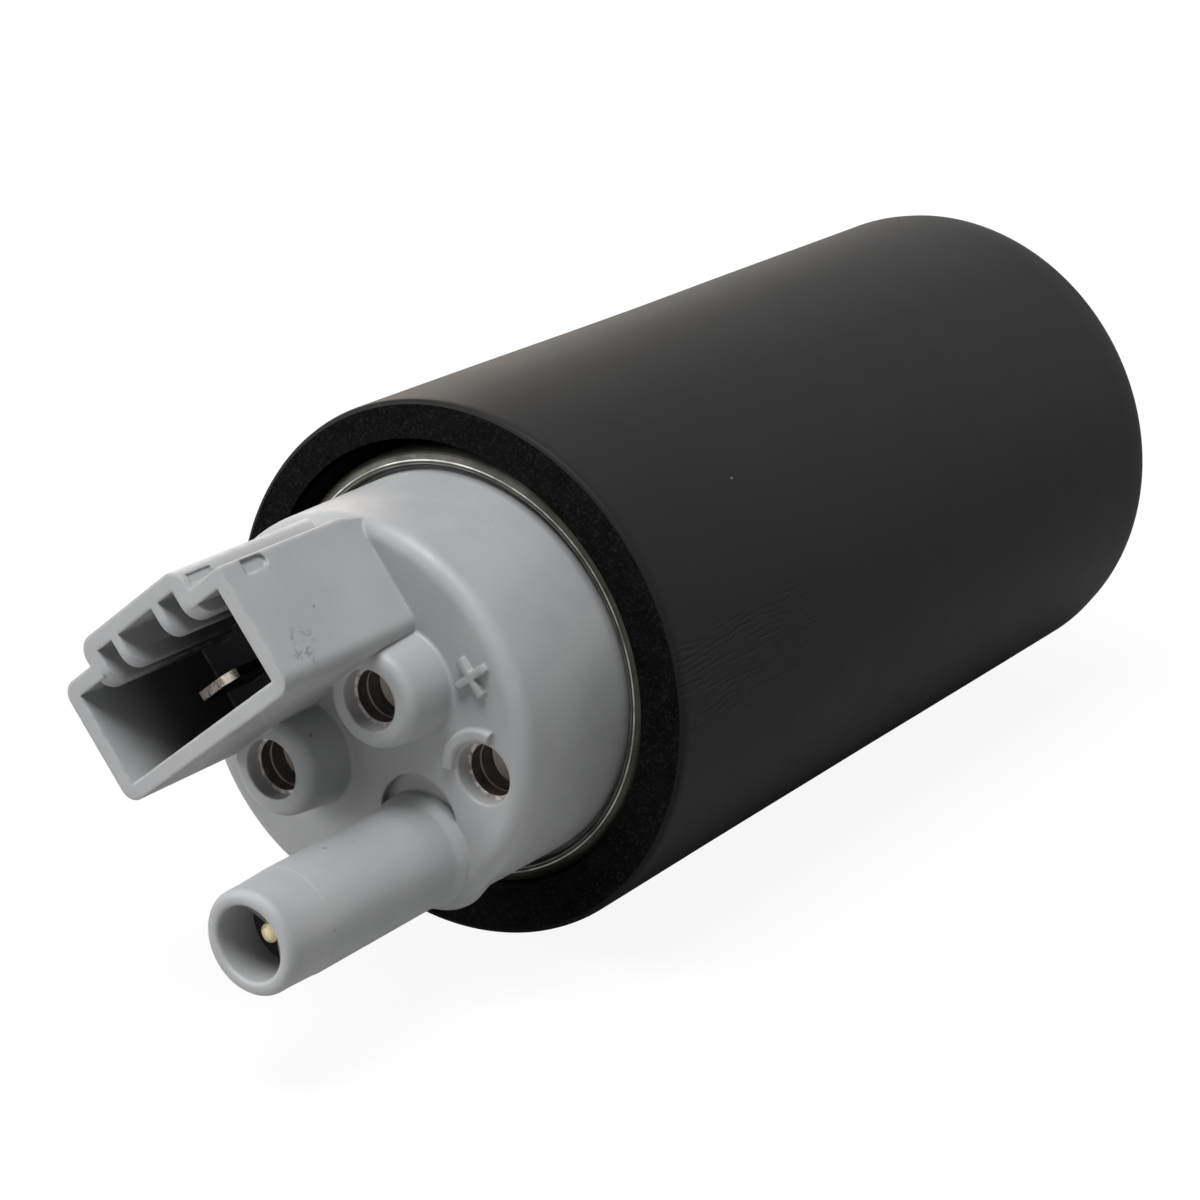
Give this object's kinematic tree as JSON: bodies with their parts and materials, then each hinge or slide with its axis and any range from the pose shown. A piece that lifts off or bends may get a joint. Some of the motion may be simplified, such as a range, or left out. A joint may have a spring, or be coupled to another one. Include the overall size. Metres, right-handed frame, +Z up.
{
  "type": "electric fuel pump",
  "caption": "Round electric fuel pump in a foam sleeve, with a plain outlet tube, a two-blade plug socket and a strainer neck.",
  "frame": {"origin": "centre of the foam sleeve, on the pump's axis", "axes": "+Y along the pump's axis towards the inlet, +Z up as in the picture, the outlet and the plug socket face -Y"},
  "size_m": [0.048, 0.1246, 0.048],
  "materials": {
    "foam": "black closed-cell foam with a satin skin and open cells on its cut ends",
    "plated_steel": "bright plated sheet steel",
    "grey_moulding": "satin light grey moulded plastic with fine dark specks",
    "tinned_copper": "bright tin plate",
    "carbon": "pressed copper-graphite",
    "spring_steel": "drawn spring wire and sheet",
    "copper": "bare and enamelled copper",
    "drawn_steel": "drawn sheet steel, dull inside",
    "ferrite": "sintered ferrite",
    "ground_steel": "ground and polished steel",
    "black_moulding": "matt black moulded plastic",
    "black_rubber": "moulded fuel-proof rubber",
    "yellow_brass": "turned brass",
    "sintered_bronze": "sintered bronze, oil filled",
    "natural_nylon": "natural moulded nylon",
    "lamination_steel": "stacked electrical steel sheets",
    "insulation_card": "pressed insulating board",
    "phenolic": "brown phenolic moulding",
    "cast_aluminium": "die-cast aluminium, faces ground",
    "sintered_steel": "sintered steel, faces ground"
  },
  "bodies": {
    "housing": {"foam_sleeve": "foam", "pump_case": "plated_steel", "outlet_end_cap": "grey_moulding", "positive_terminal": "tinned_copper", "negative_terminal": "tinned_copper", "positive_brush_spring": "spring_steel", "negative_brush_spring": "spring_steel", "positive_brush_plug": "drawn_steel", "negative_brush_plug": "drawn_steel", "positive_choke_coil": "copper", "negative_choke_coil": "copper", "positive_choke_core": "ferrite", "negative_choke_core": "ferrite", "relief_plug": "drawn_steel", "relief_spring": "spring_steel", "check_valve_cage": "black_moulding", "check_valve_spring": "spring_steel", "end_cap_seal": "black_rubber", "front_bush": "sintered_bronze", "upper_magnet": "ferrite", "lower_magnet": "ferrite", "left_magnet_clip": "spring_steel", "right_magnet_clip": "spring_steel", "flux_ring": "drawn_steel", "outlet_port_plate": "cast_aluminium", "cam_ring": "sintered_steel", "stub_shaft": "ground_steel", "dowel_pins": "ground_steel", "inlet_body": "cast_aluminium", "inlet_seal": "black_rubber"},
    "armature": {"armature_shaft": "ground_steel", "armature_core": "lamination_steel", "armature_winding": "copper", "front_insulator": "insulation_card", "rear_insulator": "insulation_card", "commutator_base": "phenolic", "commutator_segments": "copper", "drive_coupling": "natural_nylon", "rear_bush": "sintered_bronze", "front_thrust_washer": "natural_nylon", "rear_thrust_washer": "natural_nylon", "inner_rotor": "sintered_steel"},
    "pump_outer_rotor": {"outer_rotor": "sintered_steel"},
    "check_valve": {"check_valve_poppet": "black_rubber", "check_valve_pin": "yellow_brass"},
    "relief_valve_ball": {"relief_ball": "ground_steel"},
    "positive_brush_gear": {"positive_brush": "carbon", "positive_brush_shunt": "copper"},
    "negative_brush_gear": {"negative_brush": "carbon", "negative_brush_shunt": "copper"}
  },
  "joints": [
    {"name": "armature_spin", "type": "hinge", "parent": "housing", "child": "armature", "pos_m": [0, 0, 0], "axis": [0, 1, 0], "continuous": true},
    {"name": "outer_rotor_spin", "type": "hinge", "parent": "housing", "child": "pump_outer_rotor", "pos_m": [-0.0012, 0.0288, 0], "axis": [0, 1, 0], "continuous": true},
    {"name": "check_valve_lift", "type": "slide", "parent": "housing", "child": "check_valve", "axis": [0, -1, 0], "range_m": [0, 0.0015], "stiffness_N_per_m": 100, "springref_m": -0.001, "deforming": ["check_valve_spring"]},
    {"name": "relief_ball_lift", "type": "slide", "parent": "housing", "child": "relief_valve_ball", "axis": [0, -1, 0], "range_m": [0, 0.002], "stiffness_N_per_m": 300, "springref_m": -0.004, "deforming": ["relief_spring"]},
    {"name": "positive_brush_lift", "type": "slide", "parent": "housing", "child": "positive_brush_gear", "axis": [0, -1, 0], "range_m": [0, 0.003], "stiffness_N_per_m": 100, "springref_m": -0.008, "deforming": ["positive_brush_spring", "positive_brush_shunt"]},
    {"name": "negative_brush_lift", "type": "slide", "parent": "housing", "child": "negative_brush_gear", "axis": [0, -1, 0], "range_m": [0, 0.003], "stiffness_N_per_m": 100, "springref_m": -0.008, "deforming": ["negative_brush_spring", "negative_brush_shunt"]}
  ],
  "couplings": [
    {"joint": "outer_rotor_spin", "follows": "armature_spin", "ratio": 0.85714}
  ]
}
